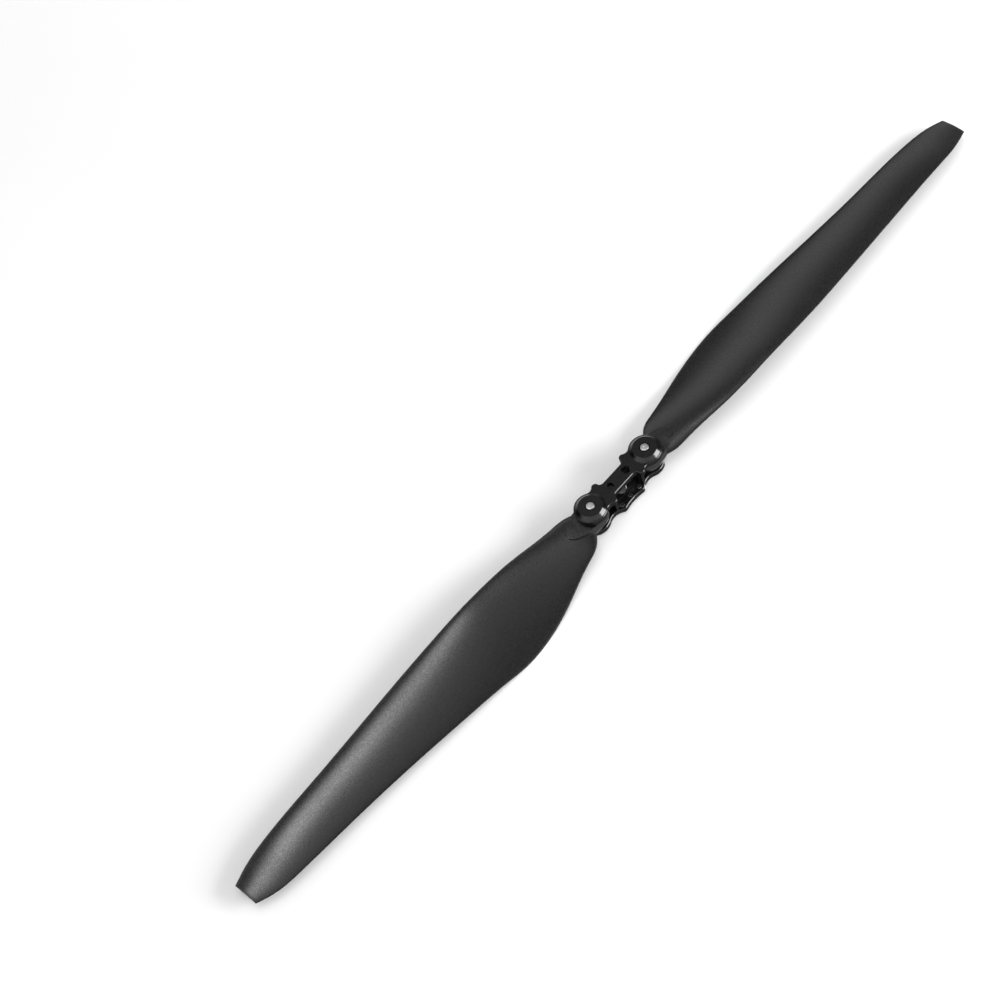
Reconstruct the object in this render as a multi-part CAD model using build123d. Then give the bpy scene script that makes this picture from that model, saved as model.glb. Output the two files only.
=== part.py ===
from build123d import *
import math
import os

# Folding two-blade propeller, millimetres.
# Origin: centre of the hub's mounting face. +Z: rotation axis, towards thrust.
# +X: along the blades when they stand straight out.

# Hub stack, from the mounting face up
plate_top = 4.4
pad_top = 5.2
lug_bottom = 4.9
lug_top = 13.6
cover_bottom = 14.2
cover_top = 18.7
boss_top = 21.0
axial_play = 0.05

# Hub plan
pivot_x = 28.0
base_lobe_radius = 11.3
cover_lobe_radius = 11.7
boss_face_radius = 8.5
edge_break = 0.35

# Motor pattern
inner_pitch_circle = 16.0
outer_pitch_circle = 25.0
screw_hole_radius = 1.7
centre_hole_radius = 4.0
pad_half_width = 5.0
pad_half_length = 11.4
hole_lobe_radius = 3.4
waist_half_width = 11.3
waist_corner_round = 4.0
base_valley_radius = 10.5

# Cover bridge and posts
bridge_half_width = 5.9
bay_corner_radius = 3.0
cover_valley_radius = 4.5
ear_x = 14.2
ear_y = 8.2
ear_radius = 2.6
access_hole_radius = 3.2
post_inner_x = 12.2
post_outer_x = 14.6
post_inner_y = 4.2
post_outer_y = 9.4
dowel_radius = 0.8
dowel_x = 13.4
dowel_y = 7.0
dowel_bottom = 1.4
dowel_top = 9.4

# Pivot fastener, M3
bolt_radius = 1.5
bolt_hole_radius = 1.6
head_radius = 2.9
head_bottom = 19.4
head_top = 21.4
head_edge_round = 0.45
head_dimple_radius = 0.7
seat_radius = 3.6
seat_bottom = 18.9
flat_washer_radius = 3.5
nut_across_flats = 5.5
nut_bottom = 0.4
nut_top = 2.8
nut_pocket_gap = 0.05
bolt_end = 0.7

# Pivot bearing
sleeve_radius = 3.0
bush_bore_radius = 3.05
bush_radius = 4.5
thrust_washer_radius = 8.8
heel_half_width = 11.2
tongue_length = 25.6
tongue_draft = 11.0

# Relief in the underside
nut_boss_radius = 5.2
relief_depth = 1.7
crescent_depth = 1.1
rim_inner_radius = 9.3
relief_edge_y = 3.0
relief_inner_x = 12.6

# Blade stations: distance from the axis, trailing edge (y, z), leading edge (y, z), thickness
blade_stations = [
    (36.0, (10.0, 8.2), (-10.2, 10.0), 6.2),
    (42.0, (15.8, 7.7), (-12.7, 10.5), 6.3),
    (55.0, (20.6, 6.4), (-14.4, 11.6), 6.4),
    (92.0, (30.0, 0.6), (-19.0, 14.8), 6.2),
    (118.0, (34.4, -1.3), (-20.5, 16.1), 5.8),
    (135.0, (35.0, -1.0), (-20.8, 16.6), 5.5),
    (155.0, (33.1, 0.9), (-20.9, 15.9), 5.2),
    (185.0, (30.2, 3.1), (-20.6, 14.5), 4.7),
    (230.0, (25.8, 4.9), (-18.9, 13.3), 4.1),
    (280.0, (21.8, 6.1), (-16.7, 12.3), 3.4),
    (335.0, (18.3, 6.7), (-14.4, 10.6), 2.8),
    (348.0, (16.6, 6.3), (-13.3, 9.1), 2.5),
    (358.0, (13.9, 6.3), (-11.4, 7.9), 2.2),
    (367.0, (10.1, 6.3), (-9.0, 6.8), 1.9),
]
section_points = 14
front_fullness = 0.30
camber_ratio = 0.030


def disc_at(x, y, radius):
    return Pos(x, y) * Circle(radius)


def cylinder(x, y, bottom, top, radius):
    return Pos(x, y, bottom) * extrude(Circle(radius), top - bottom)


def valley_centre(first, first_radius, second, second_radius, radius):
    """Centre of the hollow arc that touches two round lobes from outside (above the line of centres)."""
    dx, dy = second[0] - first[0], second[1] - first[1]
    distance = math.hypot(dx, dy)
    a, b = first_radius + radius, second_radius + radius
    along = (a * a - b * b + distance * distance) / (2 * distance)
    across = math.sqrt(a * a - along * along)
    ux, uy = dx / distance, dy / distance
    return first[0] + along * ux - across * uy, first[1] + along * uy + across * ux


def hollow_between(first, first_radius, second, second_radius, radius):
    """Web between two round lobes with a hollow, tangent side, for the quadrant x > 0, y > 0."""
    centre = valley_centre(first, first_radius, second, second_radius, radius)
    web = make_face(Polyline(first, centre, second, (second[0], -1), (first[0], -1), first))
    return web - disc_at(*centre, radius)


def four_ways(quadrant):
    """One quadrant's sketch, mirrored to all four."""
    half = quadrant + mirror(quadrant, Plane.XZ)
    return half + mirror(half, Plane.YZ)


def base_outline():
    hole = outer_pitch_circle / 2 * math.sqrt(0.5)
    web = hollow_between((hole, hole), hole_lobe_radius, (pivot_x, 0), base_lobe_radius, base_valley_radius)
    quadrant = web + disc_at(pivot_x, 0, base_lobe_radius) + disc_at(hole, hole, hole_lobe_radius)
    sagitta = hole + hole_lobe_radius - waist_half_width
    waist_radius = (hole**2 + sagitta**2) / (2 * sagitta)
    core = Rectangle(2 * hole, 2 * (hole + hole_lobe_radius))
    core -= disc_at(0, waist_half_width + waist_radius, waist_radius)
    core -= disc_at(0, -waist_half_width - waist_radius, waist_radius)
    outline = four_ways(quadrant) + core
    waist_corners = [v for v in outline.vertices() if abs(v.X) < hole]
    return fillet(waist_corners, waist_corner_round)


def cover_outline():
    ear = (ear_x, ear_y)
    web = hollow_between(ear, ear_radius, (pivot_x, 0), cover_lobe_radius, cover_valley_radius)
    quadrant = web + disc_at(pivot_x, 0, cover_lobe_radius) + disc_at(*ear, ear_radius)
    bay_y = bridge_half_width + bay_corner_radius
    bay_x = ear_x - math.sqrt((ear_radius + bay_corner_radius) ** 2 - (ear_y - bay_y) ** 2)
    corner = make_face(Polyline((0, 0), (0, bridge_half_width), (bay_x, bridge_half_width),
                                (bay_x, bay_y), ear, (ear_x, 0), (0, 0)))
    corner -= disc_at(bay_x, bay_y, bay_corner_radius)
    return four_ways(quadrant + corner)


def outline_edges(solid, height):
    """The outer loop of the flat face at this height."""
    faces = solid.faces().filter_by(Axis.Z).filter_by_position(Axis.Z, height - 0.01, height + 0.01)
    return faces.sort_by(SortBy.AREA)[-1].outer_wire().edges()


def relief_region():
    """Open recess beside one pivot: past the land's edge, round the nut boss, out through the rim."""
    half_turn = make_face(Polyline((relief_inner_x, relief_edge_y), (60, relief_edge_y), (60, 20),
                                   (relief_inner_x, 20), (relief_inner_x, relief_edge_y)))
    corner = half_turn.vertices().sort_by_distance((relief_inner_x, relief_edge_y, 0))[0]
    region = fillet(corner, 2.5)
    return region - disc_at(pivot_x, 0, nut_boss_radius)


def crescent_region():
    """Blind pocket on the other side of the nut boss, inside the rim."""
    ring = disc_at(pivot_x, 0, rim_inner_radius) - disc_at(pivot_x, 0, nut_boss_radius + 1.1)
    lower = Pos(pivot_x + 1.0, -10.4) * Rectangle(24, 19)
    return ring & lower


def both_pivots(item):
    return item + mirror(item, Plane.YZ)


def make_base_plate():
    plate = extrude(base_outline(), plate_top)
    plate = chamfer(outline_edges(plate, 0), edge_break)
    plate = chamfer(outline_edges(plate, plate_top), edge_break)
    pad = Pos(0, 0, plate_top) * extrude(Rectangle(2 * pad_half_length, 2 * pad_half_width), pad_top - plate_top)
    plate += pad
    plate -= both_pivots(extrude(relief_region(), relief_depth))
    plate -= both_pivots(extrude(crescent_region(), crescent_depth))
    plate -= cylinder(0, 0, 0, pad_top, centre_hole_radius)
    inner = inner_pitch_circle / 2
    for x, y in [(inner, 0), (-inner, 0), (0, inner), (0, -inner)]:
        plate -= cylinder(x, y, 0, pad_top, screw_hole_radius)
    outer = outer_pitch_circle / 2 * math.sqrt(0.5)
    for x, y in [(outer, outer), (-outer, outer), (outer, -outer), (-outer, -outer)]:
        plate -= cylinder(x, y, 0, pad_top, screw_hole_radius)
    pocket_flats = nut_across_flats / 2 + nut_pocket_gap
    pocket = extrude(RegularPolygon(pocket_flats, 6, major_radius=False), nut_top)
    for side in (1, -1):
        plate -= Pos(side * pivot_x, 0, 0) * pocket
        plate -= cylinder(side * pivot_x, 0, 0, plate_top, bolt_hole_radius)
    for x, y in dowel_places():
        plate -= cylinder(x, y, dowel_bottom, plate_top, dowel_radius)
    return plate


def dowel_places():
    return [(x, y) for x in (dowel_x, -dowel_x) for y in (dowel_y, -dowel_y)]


def make_cover():
    cover = Pos(0, 0, cover_bottom) * extrude(cover_outline(), cover_top - cover_bottom)
    cover = chamfer(outline_edges(cover, cover_top), edge_break)
    cover = chamfer(outline_edges(cover, cover_bottom), edge_break)
    shoulder = boss_top - (cover_lobe_radius - boss_face_radius)
    profile = make_face(Polyline((0, cover_bottom + 1), (cover_lobe_radius, cover_bottom + 1),
                                 (cover_lobe_radius, shoulder), (boss_face_radius, boss_top),
                                 (0, boss_top), (0, cover_bottom + 1)))
    boss = revolve(Plane.XZ * profile, Axis.Z)
    boss = fillet(boss.edges().filter_by_position(Axis.Z, shoulder - 0.01, shoulder + 0.01), 2.4)
    for side in (1, -1):
        x = side * pivot_x
        cover += Pos(x, 0, 0) * boss
        cover -= cylinder(x, 0, seat_bottom, boss_top, seat_radius)
        cover -= cylinder(x, 0, cover_bottom, seat_bottom, bolt_hole_radius)
        cover -= cylinder(side * inner_pitch_circle / 2, 0, cover_bottom, cover_top, access_hole_radius)
    post = Pos((post_inner_x + post_outer_x) / 2, (post_inner_y + post_outer_y) / 2, plate_top) * extrude(
        Rectangle(post_outer_x - post_inner_x, post_outer_y - post_inner_y), cover_bottom - plate_top)
    post = fillet(post.edges().filter_by(Axis.Z), 0.6)
    for x, y in dowel_places():
        turned = post if x > 0 else mirror(post, Plane.YZ)
        cover += turned if y > 0 else mirror(turned, Plane.XZ)
    for x, y in dowel_places():
        cover -= cylinder(x, y, plate_top, dowel_top, dowel_radius)
    return cover


def blade_section(distance, trailing, leading, thickness):
    """Closed aerofoil loop: a cosine-spaced lens, fuller at the front, on a cambered chord line."""
    middle_y, middle_z = (trailing[0] + leading[0]) / 2, (trailing[1] + leading[1]) / 2
    half_y, half_z = (trailing[0] - leading[0]) / 2, (trailing[1] - leading[1]) / 2
    half_chord = math.hypot(half_y, half_z)
    chord_y, chord_z = half_y / half_chord, half_z / half_chord
    skins = []
    for turn in (0, math.pi):
        points = []
        for step in range(section_points + 1):
            angle = turn + math.pi * step / section_points
            along = half_chord * math.cos(angle)
            skin = thickness / 2 * math.sin(angle) * (1 - front_fullness * math.cos(angle))
            rise = skin + 2 * camber_ratio * half_chord * math.sin(angle) ** 2
            points.append((distance, middle_y + along * chord_y - rise * chord_z,
                           middle_z + along * chord_z + rise * chord_y))
        skins.append(Spline(*points))
    return Wire(skins)


def make_blade():
    """Blade that points along +X: root lug with its tongue, and the lofted wing."""
    wing = Solid.make_loft([blade_section(*station) for station in blade_stations])
    middle = (lug_bottom + lug_top) / 2
    heel = Circle(heel_half_width) & Pos(-heel_half_width, 0) * Rectangle(2 * heel_half_width, 60)
    tongue = Ellipse(tongue_length, heel_half_width) & Pos(30, 0) * Rectangle(60, 60)
    plan = heel + tongue
    upper = extrude(plan, lug_top - middle, taper=tongue_draft)
    lug = Pos(pivot_x, 0, middle) * (upper + mirror(upper, Plane.XY))
    return lug + wing - cylinder(pivot_x, 0, lug_bottom, lug_top, bush_radius)


def make_ring(bottom, top, outer_radius, inner_radius):
    return cylinder(0, 0, bottom, top, outer_radius) - cylinder(0, 0, bottom, top, inner_radius)


def make_bolt():
    head = cylinder(0, 0, head_bottom, head_top, head_radius)
    head = fillet(head.edges().filter_by_position(Axis.Z, head_top - 0.01, head_top + 0.01), head_edge_round)
    head -= cylinder(0, 0, head_top - 0.4, head_top, head_dimple_radius)
    shank = cylinder(0, 0, bolt_end, head_bottom, bolt_radius)
    return head + shank


def make_nut():
    body = Pos(0, 0, nut_bottom) * extrude(RegularPolygon(nut_across_flats / 2, 6, major_radius=False),
                                           nut_top - nut_bottom)
    return body - cylinder(0, 0, nut_bottom, nut_top, bolt_radius)


def at_pivot(part, side):
    """A pivot part, carried to the +X pivot, or turned half way round to the other."""
    placed = Pos(pivot_x, 0, 0) * part
    return placed if side > 0 else Rot(0, 0, 180) * placed


os.makedirs("parts", exist_ok=True)
nodes = {"base_plate": make_base_plate(), "hub_cover": make_cover()}
blade = make_blade()
pivot_parts = {
    "blade_bush": make_ring(lug_bottom, lug_top, bush_radius, bush_bore_radius),
    "pivot_sleeve": make_ring(plate_top, cover_bottom, sleeve_radius, bolt_hole_radius),
    "lower_thrust_washer": make_ring(plate_top, lug_bottom - axial_play, thrust_washer_radius, bush_bore_radius),
    "upper_thrust_washer": make_ring(lug_top + axial_play, cover_bottom, thrust_washer_radius, bush_bore_radius),
    "bolt_washer": make_ring(seat_bottom, head_bottom, flat_washer_radius, bolt_hole_radius),
    "pivot_bolt": make_bolt(),
    "pivot_nut": make_nut(),
}
for letter, side in (("a", 1), ("b", -1)):
    nodes[f"blade_{letter}"] = blade if side > 0 else Rot(0, 0, 180) * blade
    for name, part in pivot_parts.items():
        nodes[f"{name}_{letter}"] = at_pivot(part, side)
nodes["cover_dowels"] = Compound([cylinder(x, y, dowel_bottom, dowel_top, dowel_radius) for x, y in dowel_places()])

for name, part in nodes.items():
    export_step(part, f"parts/{name}.step")
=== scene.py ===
import math
import bmesh
import bpy
import numpy as np
from mathutils import Matrix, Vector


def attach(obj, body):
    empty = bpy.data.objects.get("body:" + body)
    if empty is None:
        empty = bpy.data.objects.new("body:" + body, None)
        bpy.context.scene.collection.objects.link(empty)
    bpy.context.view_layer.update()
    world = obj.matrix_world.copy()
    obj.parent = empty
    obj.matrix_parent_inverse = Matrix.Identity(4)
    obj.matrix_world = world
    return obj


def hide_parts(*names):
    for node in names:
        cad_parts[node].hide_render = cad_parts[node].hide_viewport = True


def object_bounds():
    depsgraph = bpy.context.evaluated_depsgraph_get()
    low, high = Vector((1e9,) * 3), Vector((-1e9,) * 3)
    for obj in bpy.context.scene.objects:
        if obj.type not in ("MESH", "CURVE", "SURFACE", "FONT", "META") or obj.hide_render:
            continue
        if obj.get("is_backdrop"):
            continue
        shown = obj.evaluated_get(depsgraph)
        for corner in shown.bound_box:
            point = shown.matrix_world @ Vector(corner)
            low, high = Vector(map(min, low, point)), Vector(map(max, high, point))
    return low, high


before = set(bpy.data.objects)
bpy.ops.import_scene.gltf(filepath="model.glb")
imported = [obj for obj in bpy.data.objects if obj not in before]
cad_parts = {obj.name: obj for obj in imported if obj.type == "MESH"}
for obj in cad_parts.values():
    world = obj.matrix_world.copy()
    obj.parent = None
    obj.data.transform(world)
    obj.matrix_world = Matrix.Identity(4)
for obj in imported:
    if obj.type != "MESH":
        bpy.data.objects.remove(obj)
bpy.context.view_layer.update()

mm = 0.001
tau = 2 * math.pi


def smoothByAngle(piece, degrees):
    piece.data.shade_smooth()
    piece.data.set_sharp_from_angle(angle=math.radians(degrees))


def meshObject(name, points, faces, smoothAngle=35):
    # An object at the origin, its points in metres already in place
    mesh = bpy.data.meshes.new(name)
    mesh.from_pydata(points.tolist(), [], faces)
    mesh.update()
    piece = bpy.data.objects.new(name, mesh)
    bpy.context.collection.objects.link(piece)
    smoothByAngle(piece, smoothAngle)
    return piece


def cleanMesh(piece, distance=1e-7, flatAngle=0):
    # Doubles merged, flat regions made whole faces, every face turned outwards
    edit = bmesh.new()
    edit.from_mesh(piece.data)
    bmesh.ops.remove_doubles(edit, verts=edit.verts, dist=distance)
    if flatAngle:
        bmesh.ops.dissolve_degenerate(edit, edges=edit.edges, dist=distance)
        bmesh.ops.dissolve_limit(edit, angle_limit=math.radians(flatAngle), verts=edit.verts, edges=edit.edges)
    bmesh.ops.recalc_face_normals(edit, faces=edit.faces)
    edit.to_mesh(piece.data)
    edit.free()


def gridFaces(rows, columns, closed=False):
    # Quads between the points of a grid that is stored row after row; closed joins the last column to the first
    row = np.arange(rows - 1)[:, None]
    column = np.arange(columns if closed else columns - 1)[None, :]
    after = (column + 1) % columns
    here, above = row * columns, (row + 1) * columns
    corners = np.stack([here + column, here + after, above + after, above + column], -1)
    return [tuple(quad) for quad in corners.reshape(-1, 4).tolist()]


def turnedPiece(name, profile, centre, radiusFactor=None, segments=96, smoothAngle=35):
    # A closed profile of (radius, height) carried round a vertical axis: x = r cos t, y = r sin t, z = height.
    # radiusFactor(angle, radius, height) may change the radius, which is how a hexagon is made.
    radius, height = np.asarray(profile, float).T
    angle = np.linspace(0, tau, segments + 1)[:, None]
    wide = np.broadcast_to(radius, (segments + 1, len(radius)))
    tall = np.broadcast_to(height, wide.shape)
    if radiusFactor is not None:
        wide = wide * radiusFactor(angle, wide, tall)
    points = np.stack([centre[0] + wide * np.cos(angle), centre[1] + wide * np.sin(angle), tall], -1)
    faces = gridFaces(segments + 1, len(radius), True)
    piece = meshObject(name, points.reshape(-1, 3) * mm, faces, smoothAngle)
    cleanMesh(piece)
    smoothByAngle(piece, smoothAngle)
    return piece


def finishPiece(piece, material, body, slot, *nodes):
    piece.data.materials.clear()
    piece.data.materials.append(material)
    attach(piece, body)
    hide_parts(*nodes)


def feed(tree, socket, value):
    if isinstance(value, bpy.types.NodeSocket):
        tree.links.new(value, socket)
    else:
        socket.default_value = value


def calc(tree, operation, first, second=0.5, clamp=False):
    node = tree.nodes.new("ShaderNodeMath")
    node.operation = operation
    node.use_clamp = clamp
    feed(tree, node.inputs[0], first)
    feed(tree, node.inputs[1], second)
    return node.outputs[0]


def ease(tree, value, low, high, newLow, newHigh):
    node = tree.nodes.new("ShaderNodeMapRange")
    node.interpolation_type = "SMOOTHSTEP"
    for place, number in enumerate((value, low, high, newLow, newHigh)):
        feed(tree, node.inputs[place], number)
    return node.outputs[0]


def mixColours(tree, factor, first, second):
    node = tree.nodes.new("ShaderNodeMix")
    node.data_type = "RGBA"
    for place, value in ((0, factor), (6, first), (7, second)):
        feed(tree, node.inputs[place], value)
    return node.outputs[2]


def noise(tree, place, scale, detail=2.0, roughness=0.5):
    node = tree.nodes.new("ShaderNodeTexNoise")
    feed(tree, node.inputs["Vector"], place)
    feed(tree, node.inputs["Scale"], scale)
    node.inputs["Detail"].default_value = detail
    node.inputs["Roughness"].default_value = roughness
    return node.outputs["Fac"]


def stretched(tree, place, scale):
    node = tree.nodes.new("ShaderNodeMapping")
    feed(tree, node.inputs["Vector"], place)
    node.inputs["Scale"].default_value = scale
    return node.outputs["Vector"]


def addBump(tree, shader, height, strength, distance):
    node = tree.nodes.new("ShaderNodeBump")
    node.inputs["Strength"].default_value = strength
    node.inputs["Distance"].default_value = distance
    feed(tree, node.inputs["Height"], height)
    tree.links.new(node.outputs["Normal"], shader.inputs["Normal"])


def newGroup(name, inputs, outputs):
    group = bpy.data.node_groups.new(name, "ShaderNodeTree")
    for label, kind, value in inputs:
        group.interface.new_socket(label, in_out="INPUT", socket_type=kind).default_value = value
    for label, kind in outputs:
        group.interface.new_socket(label, in_out="OUTPUT", socket_type=kind)
    return group, group.nodes.new("NodeGroupInput"), group.nodes.new("NodeGroupOutput")


def makeGrainGroup():
    # Fine speckle: two sizes of noise, put out as a 0 to 1 mask and as a height
    inputs = [("Vector", "NodeSocketVector", (0, 0, 0)), ("Size", "NodeSocketFloat", 0.0006),
              ("Contrast", "NodeSocketFloat", 3.0)]
    outputs = [("Mask", "NodeSocketFloat"), ("Height", "NodeSocketFloat")]
    group, start, end = newGroup("fineGrain", inputs, outputs)
    scale = calc(group, "DIVIDE", 1.0, start.outputs["Size"])
    fine = noise(group, start.outputs["Vector"], scale, 2.0, 0.6)
    coarse = noise(group, start.outputs["Vector"], calc(group, "DIVIDE", scale, 3.7), 3.0)
    both = calc(group, "ADD", calc(group, "MULTIPLY", fine, 0.65), calc(group, "MULTIPLY", coarse, 0.35))
    centred = calc(group, "MULTIPLY", calc(group, "SUBTRACT", both, 0.5), start.outputs["Contrast"])
    group.links.new(calc(group, "ADD", centred, 0.5, True), end.inputs["Mask"])
    group.links.new(both, end.inputs["Height"])
    return group


def makeEdgeWearGroup():
    # Rubbed edges: where the rounded normal leaves the true one, broken up by noise
    inputs = [("Vector", "NodeSocketVector", (0, 0, 0)), ("Radius", "NodeSocketFloat", 0.0003),
              ("Amount", "NodeSocketFloat", 0.5)]
    group, start, end = newGroup("edgeWear", inputs, [("Mask", "NodeSocketFloat")])
    rounded = group.nodes.new("ShaderNodeBevel")
    rounded.samples = 4
    group.links.new(start.outputs["Radius"], rounded.inputs["Radius"])
    geometry = group.nodes.new("ShaderNodeNewGeometry")
    dot = group.nodes.new("ShaderNodeVectorMath")
    dot.operation = "DOT_PRODUCT"
    group.links.new(rounded.outputs["Normal"], dot.inputs[0])
    group.links.new(geometry.outputs["Normal"], dot.inputs[1])
    edge = ease(group, dot.outputs["Value"], 0.995, 0.88, 0.0, 1.0)
    broken = ease(group, noise(group, start.outputs["Vector"], 900.0, 4.0), 0.42, 0.62, 0.1, 1.0)
    mask = calc(group, "MULTIPLY", calc(group, "MULTIPLY", edge, broken), start.outputs["Amount"], True)
    group.links.new(mask, end.inputs["Mask"])
    return group


fineGrain = makeGrainGroup()
edgeWear = makeEdgeWearGroup()
print("stage: shader groups")


def startMaterial(name):
    material = bpy.data.materials.new(name)
    material.use_nodes = True
    tree = material.node_tree
    return material, tree, tree.nodes["Principled BSDF"], tree.nodes.new("ShaderNodeTexCoord").outputs["Object"]


def addGroup(tree, group, place, values):
    node = tree.nodes.new("ShaderNodeGroup")
    node.node_tree = group
    tree.links.new(place, node.inputs["Vector"])
    for label, value in values.items():
        node.inputs[label].default_value = value
    return node.outputs


bladeFinish = {
    "dark": (0.0035, 0.0035, 0.0037, 1), "light": (0.0120, 0.0120, 0.0124, 1),
    "rubbed": (0.045, 0.045, 0.046, 1),
    "grain": {"Size": 0.00055, "Contrast": 3.0}, "wear": {"Radius": 0.0004, "Amount": 0.3},
    "flowMarks": (14.0, 90.0, 90.0), "flowAmount": 0.25, "roughness": (0.24, 0.33), "bump": 0.12,
}


def makeBladePolymer(values):
    # Moulded fibre-filled nylon: salt-and-pepper grain, faint flow clouds along the blade, rubbed edges
    material, tree, shader, place = startMaterial("fibreFilledNylon")
    grain = addGroup(tree, fineGrain, place, values["grain"])
    wear = addGroup(tree, edgeWear, place, values["wear"])
    flow = ease(tree, noise(tree, stretched(tree, place, values["flowMarks"]), 1.0, 3.0), 0.35, 0.65, 0.0, 1.0)
    speckle = mixColours(tree, grain["Mask"], values["dark"], values["light"])
    clouded = mixColours(tree, calc(tree, "MULTIPLY", flow, values["flowAmount"]), speckle, values["light"])
    tree.links.new(mixColours(tree, wear["Mask"], clouded, values["rubbed"]), shader.inputs["Base Color"])
    tree.links.new(ease(tree, grain["Mask"], 0.0, 1.0, *values["roughness"]), shader.inputs["Roughness"])
    addBump(tree, shader, grain["Height"], values["bump"], 0.0002)
    return material


hubFinish = {
    "dark": (0.0030, 0.0030, 0.0032, 1), "light": (0.0065, 0.0065, 0.0068, 1), "rubbed": (0.14, 0.14, 0.145, 1),
    "grain": {"Size": 0.00025, "Contrast": 2.4}, "wear": {"Radius": 0.0002, "Amount": 0.30},
    "streaks": (140.0, 2600.0, 2600.0), "roughness": (0.13, 0.20), "bump": 0.03,
}


def makeBlackAnodised(values):
    # Glossy black anodised aluminium: faint milling streaks along the plate, paler on rubbed edges
    material, tree, shader, place = startMaterial("blackAnodised")
    grain = addGroup(tree, fineGrain, place, values["grain"])
    wear = addGroup(tree, edgeWear, place, values["wear"])
    streaks = noise(tree, stretched(tree, place, values["streaks"]), 1.0, 3.0)
    dark = mixColours(tree, grain["Mask"], values["dark"], values["light"])
    tree.links.new(mixColours(tree, wear["Mask"], dark, values["rubbed"]), shader.inputs["Base Color"])
    tree.links.new(ease(tree, streaks, 0.3, 0.7, *values["roughness"]), shader.inputs["Roughness"])
    addBump(tree, shader, streaks, values["bump"], 0.0001)
    return material


def makeMachinedMetal(name, bright, dull, roughness, grainSize=0.0003, wearAmount=0.4):
    # Bare metal with a fine mottled surface, duller in patches and brighter on its edges
    material, tree, shader, place = startMaterial(name)
    grain = addGroup(tree, fineGrain, place, {"Size": grainSize, "Contrast": 3.0})
    wear = addGroup(tree, edgeWear, place, {"Radius": 0.00015, "Amount": wearAmount})
    mottled = mixColours(tree, grain["Mask"], bright, dull)
    tree.links.new(mixColours(tree, wear["Mask"], mottled, bright), shader.inputs["Base Color"])
    rough = ease(tree, grain["Mask"], 0.0, 1.0, roughness - 0.07, roughness + 0.08)
    tree.links.new(rough, shader.inputs["Roughness"])
    addBump(tree, shader, grain["Height"], 0.12, 0.00008)
    shader.inputs["Metallic"].default_value = 1.0
    return material


def makeWasherSheet():
    # Low-friction plastic sheet, dark with a fine tooth
    material, tree, shader, place = startMaterial("washerSheet")
    grain = addGroup(tree, fineGrain, place, {"Size": 0.0004, "Contrast": 3.0})
    tree.links.new(mixColours(tree, grain["Mask"], (0.012, 0.012, 0.012, 1), (0.03, 0.03, 0.03, 1)),
                   shader.inputs["Base Color"])
    tree.links.new(ease(tree, grain["Mask"], 0.0, 1.0, 0.4, 0.55), shader.inputs["Roughness"])
    addBump(tree, shader, grain["Height"], 0.08, 0.0001)
    return material


bladePolymer = makeBladePolymer(bladeFinish)
blackAnodised = makeBlackAnodised(hubFinish)
brightSteel = makeMachinedMetal("brightSteel", (0.48, 0.48, 0.48, 1), (0.30, 0.30, 0.30, 1), 0.36)
blackSteel = makeMachinedMetal("blackOxideSteel", (0.016, 0.016, 0.017, 1), (0.007, 0.007, 0.007, 1), 0.42)
turnedBronze = makeMachinedMetal("turnedBronze", (0.72, 0.50, 0.26, 1), (0.52, 0.35, 0.17, 1), 0.32)
washerSheet = makeWasherSheet()
print("stage: materials")

bladeShape = {
    "pivot": 28.0, "length": 367.0, "boreRadius": 4.5,
    "lugMiddle": 9.25, "lugHalfHeight": 4.33, "heelRadius": 11.2, "tongueLength": 25.6, "draft": 0.19,
    "shoulderRound": 0.35, "rootFillet": 0.35, "edgeJoin": 0.8, "flatInset": 0.9, "tongueFlat": 2.6,
    "frontFullness": 0.30, "camber": 0.030, "tipRound": 0.6,
}
# distance from the axis, trailing edge y and z, leading edge y and z, thickness, all in millimetres
bladeStations = np.array([
    (36.0, 10.0, 8.2, -10.2, 10.0, 4.8), (42.0, 15.8, 7.7, -12.7, 10.5, 4.7),
    (55.0, 20.6, 6.4, -14.4, 11.6, 4.6), (92.0, 30.0, 0.6, -19.0, 14.8, 4.8),
    (118.0, 34.4, -1.3, -20.5, 16.1, 4.9), (135.0, 35.0, -1.0, -20.8, 16.6, 4.9),
    (155.0, 33.1, 0.9, -20.9, 15.9, 4.8), (185.0, 30.2, 3.1, -20.6, 14.5, 4.5),
    (230.0, 25.8, 4.9, -18.9, 13.3, 4.0), (280.0, 21.8, 6.1, -16.7, 12.3, 3.4),
    (335.0, 18.3, 6.7, -14.4, 10.6, 2.8), (348.0, 16.6, 6.3, -13.3, 9.1, 2.5),
    (358.0, 13.9, 6.3, -11.4, 7.9, 2.2), (367.0, 10.1, 6.3, -9.0, 6.8, 1.9)])


def throughStations(x, table):
    # Smooth curve through the stations: the slopes make the second derivative run on from piece to piece
    knots, values = table[:, 0], table[:, 1:]
    gap = np.diff(knots)[:, None]
    rise = np.diff(values, axis=0) / gap
    count = len(knots)
    matrix = np.zeros((count, count))
    right = np.zeros_like(values)
    matrix[0, :2] = (2, 1)
    matrix[-1, -2:] = (1, 2)
    right[0], right[-1] = 3 * rise[0], 3 * rise[-1]
    inner = np.arange(1, count - 1)
    matrix[inner, inner - 1] = gap[1:, 0]
    matrix[inner, inner] = 2 * (gap[1:, 0] + gap[:-1, 0])
    matrix[inner, inner + 1] = gap[:-1, 0]
    right[1:-1] = 3 * (gap[1:] * rise[:-1] + gap[:-1] * rise[1:])
    slopes = np.linalg.solve(matrix, right)
    place = np.clip(np.searchsorted(knots, x) - 1, 0, count - 2)
    step = gap[place]
    t = ((x - knots[place]) / step[:, 0])[:, None]
    return ((2 * t**3 - 3 * t**2 + 1) * values[place] + (t**3 - 2 * t**2 + t) * step * slopes[place]
            + (3 * t**2 - 2 * t**3) * values[place + 1] + (t**3 - t**2) * step * slopes[place + 1])


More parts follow.
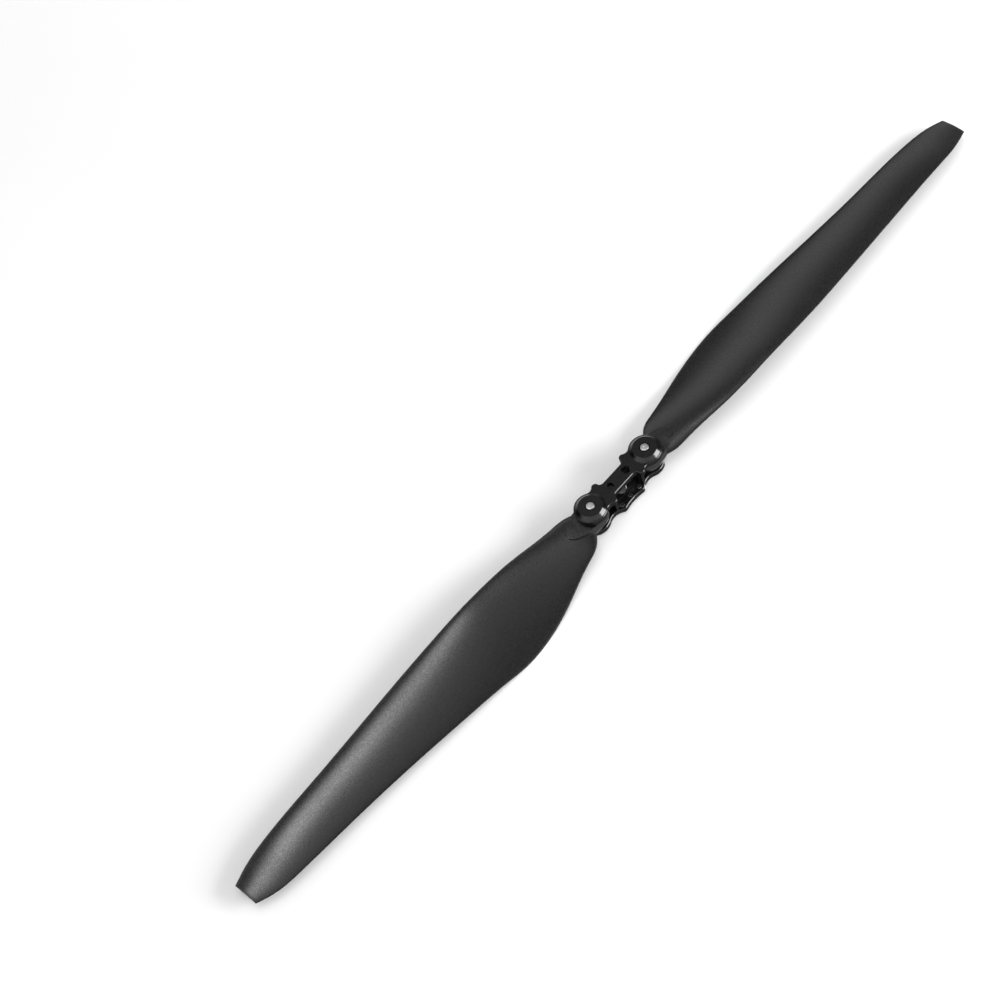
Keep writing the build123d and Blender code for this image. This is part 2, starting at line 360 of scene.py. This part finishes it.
def roundedMax(a, b, softness):
    # The larger of the two, with the corner where they cross filled by an arc about this long
    gap = np.maximum(softness - np.abs(a - b), 0) / softness
    return np.maximum(a, b) + gap**2 * softness / 4


def lugHalfWidth(x, shape):
    along = (x - shape["pivot"]) / np.where(x < shape["pivot"], shape["heelRadius"], shape["tongueLength"])
    return shape["heelRadius"] * np.sqrt(np.clip(1 - along**2, 0, 1))


def lugRise(x, y, shape):
    # Half height of the lug: the distance inside its outline (round heel, half-ellipse tongue) divided by the
    # draft of the side walls, turned over into the flat by a small shoulder
    along = x - shape["pivot"]
    reach = np.where(along < 0, shape["heelRadius"], shape["tongueLength"])
    ratio = np.sqrt((along / reach) ** 2 + (y / shape["heelRadius"]) ** 2) + 1e-9
    slope = np.sqrt((along / reach**2) ** 2 + (y / shape["heelRadius"] ** 2) ** 2) / ratio + 1e-9
    wall = (1 - ratio) / slope / shape["draft"]
    return -roundedMax(-wall, np.full_like(wall, -shape["lugHalfHeight"]), shape["shoulderRound"] * 4)


def bladePoints(shape, stations):
    # Closed loops across the blade, one per distance x. Over the width y the wing is a bent lens, fuller at the
    # front: height = chord + camber * width * bow^2 +/- thickness / 2 * bow * (1 - fullness * across), with
    # across from -1 to 1 and bow = sqrt(1 - across^2). The lug joins it by a rounded maximum above and minimum
    # below.
    length, round_ = shape["length"], shape["tipRound"]
    heelEnd = shape["pivot"] - shape["heelRadius"] + 0.02
    heel = shape["pivot"] - (shape["pivot"] - heelEnd) * np.cos(np.linspace(0, tau / 4, 60))
    root = np.arange(28.4, 60.0, 0.25)
    outer = 60.0 + (length - round_ - 60.0) * np.linspace(0, 1, 150)
    tip = length - round_ + round_ * np.sin(np.linspace(0.15, tau / 4, 8))
    x = np.concatenate([heel, root, outer, tip])
    trailY, trailZ, leadY, leadZ, thick = throughStations(np.maximum(x, stations[0, 0]), stations).T
    hasWing = x >= stations[0, 0]
    lugHalf = lugHalfWidth(x, shape)
    rear = np.where(hasWing, roundedMax(trailY, lugHalf, shape["edgeJoin"]), lugHalf)
    front = -np.where(hasWing, roundedMax(-leadY, lugHalf, shape["edgeJoin"]), lugHalf)
    least = np.where(x < shape["pivot"], 0.8 * lugHalf, shape["tongueFlat"])
    shoulder = np.maximum(lugHalf - shape["flatInset"], least)
    shoulder = np.minimum(shoulder, 0.92 * np.minimum(rear, -front))[:, None]
    easeIn = (1 - np.cos(math.pi * np.linspace(0, 1, 40)))[None, :] / 2
    easeMiddle = (1 - np.cos(math.pi * np.linspace(0, 1, 48)))[None, :] / 2
    rear, front = rear[:, None], front[:, None]
    y = np.concatenate([(rear + (shoulder - rear) * easeIn)[:, :-1], shoulder - 2 * shoulder * easeMiddle,
                        (-shoulder + (front + shoulder) * easeIn)[:, 1:]], 1)
    halfChord = (rear - front) / 2
    across = np.clip((y - (rear + front) / 2) / halfChord, -1, 1)
    bow = np.sqrt(1 - across**2)
    chord = (trailZ + leadZ)[:, None] / 2 + across * (trailZ - leadZ)[:, None] / 2
    lift = 2 * shape["camber"] * halfChord * bow**2
    thin = np.sqrt(np.clip(1 - (np.clip(x - length + round_, 0, None) / round_) ** 2, 0.01, 1))
    skin = (thick * thin)[:, None] / 2 * bow * (1 - shape["frontFullness"] * across)
    rise = lugRise(x[:, None], y, shape)
    softness = (0.3 + 4 * shape["rootFillet"] * np.clip((x - 37.0) / 9.0, 0, 1))[:, None]
    wing = np.broadcast_to(hasWing[:, None], y.shape)
    lugTop, lugLow = shape["lugMiddle"] + rise, shape["lugMiddle"] - rise
    top = np.where(wing, roundedMax(chord + lift + skin, lugTop, softness), lugTop)
    low = np.where(wing, -roundedMax(-(chord + lift - skin), -lugLow, softness), lugLow)
    edge = (top[:, [0, -1]] + low[:, [0, -1]]) / 2
    top[:, [0, -1]] = edge
    z = np.concatenate([top, low[:, -2:0:-1]], 1)
    y = np.concatenate([y, y[:, -2:0:-1]], 1)
    return np.stack([np.broadcast_to(x[:, None], y.shape), y, z], -1) * mm


def makeBlade(name, shape, stations, side):
    # side is 1 for the blade along +X and -1 for the same blade turned half way round
    points = bladePoints(shape, stations) * np.array([side, side, 1])
    rows, columns = points.shape[:2]
    faces = gridFaces(rows, columns, True)
    for start in (0, (rows - 1) * columns):
        strip = np.arange(columns // 2)
        ends = [strip, strip + 1, (columns - strip - 1) % columns, (columns - strip) % columns]
        faces += [tuple(quad) for quad in (np.stack(ends, -1) + start).tolist()]
    piece = meshObject(name, points.reshape(-1, 3), faces)
    cleanMesh(piece)
    wall = shape["boreRadius"]
    core = [(0, 0), (wall, 0), (wall, 20), (0, 20)]
    cutter = turnedPiece("boreCutter", core, (side * shape["pivot"], 0))
    bore = piece.modifiers.new("bore", "BOOLEAN")
    bore.operation = "DIFFERENCE"
    bore.solver = "EXACT"
    bore.object = cutter
    bored = bpy.data.meshes.new_from_object(piece.evaluated_get(bpy.context.evaluated_depsgraph_get()))
    piece.modifiers.clear()
    piece.data = bored
    bpy.data.objects.remove(cutter)
    smoothByAngle(piece, 40)
    return piece


bladeSkins = []
for letter, side in (("a", 1), ("b", -1)):
    blade = makeBlade(f"bladeSkin_{letter}", bladeShape, bladeStations, side)
    finishPiece(blade, bladePolymer, f"blade_{letter}", "blade_polymer", f"blade_{letter}")
    bladeSkins.append(blade)
    print("stage: blade", letter, len(blade.data.polygons), "faces")

hubEdges = {"width": 0.10, "segments": 2, "angle": 28}


def makeHubPlate(node, name, values):
    # A merged copy of the machined plate with small round edges
    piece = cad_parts[node].copy()
    piece.data = piece.data.copy()
    piece.name = piece.data.name = name
    piece.parent = None
    bpy.context.collection.objects.link(piece)
    cleanMesh(piece, 2e-6, 0.5)
    bevel = piece.modifiers.new("roundEdges", "BEVEL")
    bevel.width = values["width"] * mm
    bevel.segments = values["segments"]
    bevel.limit_method = "ANGLE"
    bevel.angle_limit = math.radians(values["angle"])
    smoothByAngle(piece, values["angle"])
    weighted = piece.modifiers.new("flatFaces", "WEIGHTED_NORMAL")
    weighted.keep_sharp = False
    return piece


for node, name in (("base_plate", "basePlateFinished"), ("hub_cover", "hubCoverFinished")):
    finishPiece(makeHubPlate(node, name, hubEdges), blackAnodised, "hub", "hub_metal", node)
print("stage: hub plates")

boltShape = {"pivot": 28.0, "shank": 1.5, "end": 0.7, "endChamfer": 0.25, "headRadius": 2.9, "headBottom": 19.4,
             "headTop": 21.4, "edgeRound": 0.45, "crown": 0.06, "dimpleRadius": 0.75, "dimpleDepth": 0.45}
nutShape = {"pivot": 28.0, "acrossFlats": 5.5, "bore": 1.5, "bottom": 0.4, "top": 2.8, "faceRadius": 2.62,
            "countersink": 0.3}


def makeBolt(name, shape, side):
    # Profile: shank with a chamfered end, flat-bottomed head, quarter-round edge, face that rises to the
    # middle with the square of the distance from its rim, cone dimple
    turn = np.linspace(0, tau / 4, 7)
    inner = shape["headRadius"] - shape["edgeRound"]
    inwards = np.linspace(1, 0, 6)[1:]
    face = shape["dimpleRadius"] + (inner - shape["dimpleRadius"]) * inwards
    shoulder = shape["headTop"] - shape["crown"] - shape["edgeRound"]
    profile = [(0, shape["end"]), (shape["shank"] - shape["endChamfer"], shape["end"]),
               (shape["shank"], shape["end"] + shape["endChamfer"]), (shape["shank"], shape["headBottom"]),
               (shape["headRadius"], shape["headBottom"])]
    profile += zip(inner + shape["edgeRound"] * np.cos(turn), shoulder + shape["edgeRound"] * np.sin(turn))
    profile += zip(face, shape["headTop"] - shape["crown"] * ((face - face[-1]) / (inner - face[-1])) ** 2)
    profile.append((shape["dimpleRadius"] * 0.9, shape["headTop"] - 2 * shape["crown"]))
    profile.append((0, shape["headTop"] - shape["dimpleDepth"]))
    return turnedPiece(name, profile, (side * shape["pivot"], 0))


def makeNut(name, shape, side):
    # Hexagon radius = half the flats / cos(angle from the middle of the nearest flat), cut at each face by a
    # 30 degree cone
    half = shape["acrossFlats"] / 2
    sink, low, high, face = shape["countersink"], shape["bottom"], shape["top"], shape["faceRadius"]

    def hexagon(angle, radius, height):
        flat = (angle + tau / 12) % (tau / 6) - tau / 12
        corner = half / np.cos(flat)
        depth = np.minimum(height - low, high - height)
        limit = np.minimum(corner, face + depth / math.tan(math.radians(30)))
        return np.where(radius > face + 0.01, limit / radius, 1.0)

    steps = np.linspace(0.02, 0.5, 7)
    profile = [(shape["bore"], low + sink), (shape["bore"] + sink, low), (face, low)]
    profile += [(3.2, low + step) for step in steps] + [(3.2, high - step) for step in steps[::-1]]
    profile += [(face, high), (shape["bore"] + sink, high), (shape["bore"], high - sink)]
    return turnedPiece(name, profile, (side * shape["pivot"], 0), hexagon, 144, 25)


keptNodes = {"pivot_sleeve": brightSteel, "bolt_washer": blackSteel, "blade_bush": turnedBronze,
             "lower_thrust_washer": washerSheet, "upper_thrust_washer": washerSheet}


def dressNode(node, material):
    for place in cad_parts[node].material_slots:
        place.material = material


for letter, side in (("a", 1), ("b", -1)):
    pin = makeBolt(f"pivotPin_{letter}", boltShape, side)
    finishPiece(pin, brightSteel, "hub", "steel", f"pivot_bolt_{letter}")
    nut = makeNut(f"pivotNut_{letter}", nutShape, side)
    finishPiece(nut, brightSteel, "hub", "steel", f"pivot_nut_{letter}")
    for node, material in keptNodes.items():
        dressNode(f"{node}_{letter}", material)
dressNode("cover_dowels", brightSteel)
print("stage: pivots")

floorSetup = {"size": 14.0, "pale": (0.97, 0.97, 0.97, 1), "shade": (0.95, 0.95, 0.95, 1)}


def makeFloor(values, height):
    # Pale from above, clear from below so that the underside can be looked at. It keeps no light from the
    # underside, and reflections show the room in its place.
    half = values["size"] / 2
    corners = [(-half, -half, height), (half, -half, height), (half, half, height), (-half, half, height)]
    floor = meshObject("floor", np.array(corners), [(0, 1, 2, 3)])
    material, tree, shader, place = startMaterial("paleFloor")
    faint = ease(tree, noise(tree, place, 3.0, 2.0), 0.3, 0.7, 0.0, 1.0)
    tree.links.new(mixColours(tree, faint, values["pale"], values["shade"]), shader.inputs["Base Color"])
    shader.inputs["Roughness"].default_value = 0.9
    shader.inputs["Specular IOR Level"].default_value = 0.1
    through = tree.nodes.new("ShaderNodeMixShader")
    tree.links.new(tree.nodes.new("ShaderNodeNewGeometry").outputs["Backfacing"], through.inputs[0])
    tree.links.new(shader.outputs[0], through.inputs[1])
    tree.links.new(tree.nodes.new("ShaderNodeBsdfTransparent").outputs[0], through.inputs[2])
    tree.links.new(through.outputs[0], tree.nodes["Material Output"].inputs["Surface"])
    floor.data.materials.append(material)
    floor.visible_glossy = False
    floor.visible_shadow = False
    floor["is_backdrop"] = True


cameraSetup = {"azimuth": -29.687, "elevation": 57.25, "roll": 21.145, "distance": 1.6515,
               "aside": 0.08235, "above": 0.00516, "lens": 88.18}


def viewAxes(azimuth, elevation, roll):
    # Unit vectors right, up and back of something that looks at the origin, turned about its line of sight
    a, e, r = math.radians(azimuth), math.radians(elevation), math.radians(roll)
    back = np.array([math.sin(a) * math.cos(e), -math.cos(a) * math.cos(e), math.sin(e)])
    right = np.array([math.cos(a), math.sin(a), 0.0])
    up = np.cross(back, right)
    return math.cos(r) * right - math.sin(r) * up, math.sin(r) * right + math.cos(r) * up, back


def placeThing(thing, right, up, back, position):
    bpy.context.collection.objects.link(thing)
    turned = Matrix([list(right), list(up), list(back)]).transposed().to_4x4()
    turned.translation = position
    thing.matrix_world = turned


def makeCamera(values):
    camera = bpy.data.objects.new("camera", bpy.data.cameras.new("camera"))
    right, up, back = viewAxes(values["azimuth"], values["elevation"], values["roll"])
    position = values["distance"] * back - values["aside"] * right - values["above"] * up
    placeThing(camera, right, up, back, position)
    camera.data.lens = values["lens"]
    camera.data.sensor_width = 36.0
    camera.data.clip_start = 0.01
    bpy.context.scene.camera = camera


# azimuth 0 is towards -Y and grows towards +X; radiance is what a mirror would show of the lamp.
# lights is both, gloss for reflections only, or floor for plain light only.
# blades is EXCLUDE to leave the two blades out, or INCLUDE to light nothing else.
lampSetup = {
    "sideSoftbox": {"azimuth": 36.0, "elevation": 21.0, "distance": 2.5, "size": (1.55, 1.00), "radiance": 14.5,
                    "lights": "both", "blades": "EXCLUDE"},
    "bladeSoftbox": {"azimuth": 36.0, "elevation": 21.0, "distance": 2.5, "size": (1.55, 1.00), "radiance": 4.0,
                     "lights": "both", "blades": "INCLUDE"},
    "topSoftbox": {"azimuth": 198.0, "elevation": 75.0, "distance": 2.5, "size": (1.00, 0.62), "radiance": 10.8,
                   "lights": "gloss"},
    "farSoftbox": {"azimuth": 240.0, "elevation": 36.0, "distance": 2.5, "size": (0.90, 0.70), "radiance": 4.5,
                   "lights": "gloss"},
    "underSoftbox": {"azimuth": 150.0, "elevation": -72.0, "distance": 2.5, "size": (2.40, 0.80),
                     "radiance": 2.5, "lights": "gloss"},
    "floorFill": {"azimuth": 0.0, "elevation": 90.0, "distance": 2.6, "size": (2.8, 2.8), "radiance": 0.8,
                  "lights": "floor"},
}
# brightness of the room by the height of the direction, from straight down to straight up
roomSetup = [(-1.0, 0.9), (-0.92, 0.35), (-0.84, 0.14), (-0.75, 0.30), (-0.60, 0.90), (-0.40, 1.10),
             (-0.15, 0.55), (0.0, 0.05), (0.19, 0.0), (0.31, 0.30), (0.38, 1.45), (0.46, 1.35), (0.60, 0.72),
             (0.76, 0.22), (0.87, 0.33), (0.95, 0.8), (1.0, 0.95)]


def makeLamps(setups, blades):
    for name, values in setups.items():
        lamp = bpy.data.objects.new(name, bpy.data.lights.new(name, "AREA"))
        lamp.data.shape = "RECTANGLE"
        lamp.data.size, lamp.data.size_y = values["size"]
        lamp.data.energy = values["radiance"] * math.pi * lamp.data.size * lamp.data.size_y
        lamp.visible_diffuse = values["lights"] != "gloss"
        lamp.visible_glossy = values["lights"] != "floor"
        if "blades" in values:
            receivers = bpy.data.collections.new(name + "Receivers")
            lamp.light_linking.receiver_collection = receivers
            for blade in blades:
                receivers.objects.link(blade)
            for member in receivers.collection_objects:
                member.light_linking.link_state = values["blades"]
        right, up, back = viewAxes(values["azimuth"], values["elevation"], 0)
        placeThing(lamp, right, up, back, values["distance"] * back)


def makeRoom(steps):
    world = bpy.data.worlds.new("studio")
    bpy.context.scene.world = world
    world.use_nodes = True
    tree = world.node_tree
    split = tree.nodes.new("ShaderNodeSeparateXYZ")
    tree.links.new(tree.nodes.new("ShaderNodeTexCoord").outputs["Generated"], split.inputs[0])
    curve = tree.nodes.new("ShaderNodeFloatCurve")
    points = curve.mapping.curves[0].points
    spots = [(height / 2 + 0.5, strength / 2) for height, strength in steps]
    points[0].location, points[1].location = spots[0], spots[-1]
    for spot in spots[1:-1]:
        points.new(*spot)
    curve.mapping.update()
    height = calc(tree, "ADD", calc(tree, "MULTIPLY", split.outputs["Z"], 0.5), 0.5)
    tree.links.new(height, curve.inputs["Value"])
    light = tree.nodes["Background"]
    light.inputs["Color"].default_value = (1, 1, 1, 1)
    tree.links.new(calc(tree, "MULTIPLY", curve.outputs[0], 2.0), light.inputs["Strength"])


makeFloor(floorSetup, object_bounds()[0][2] - 0.0001)
makeCamera(cameraSetup)
makeLamps(lampSetup, bladeSkins)
makeRoom(roomSetup)
bpy.context.scene.view_settings.view_transform = "Standard"
print("stage: floor, light and camera")
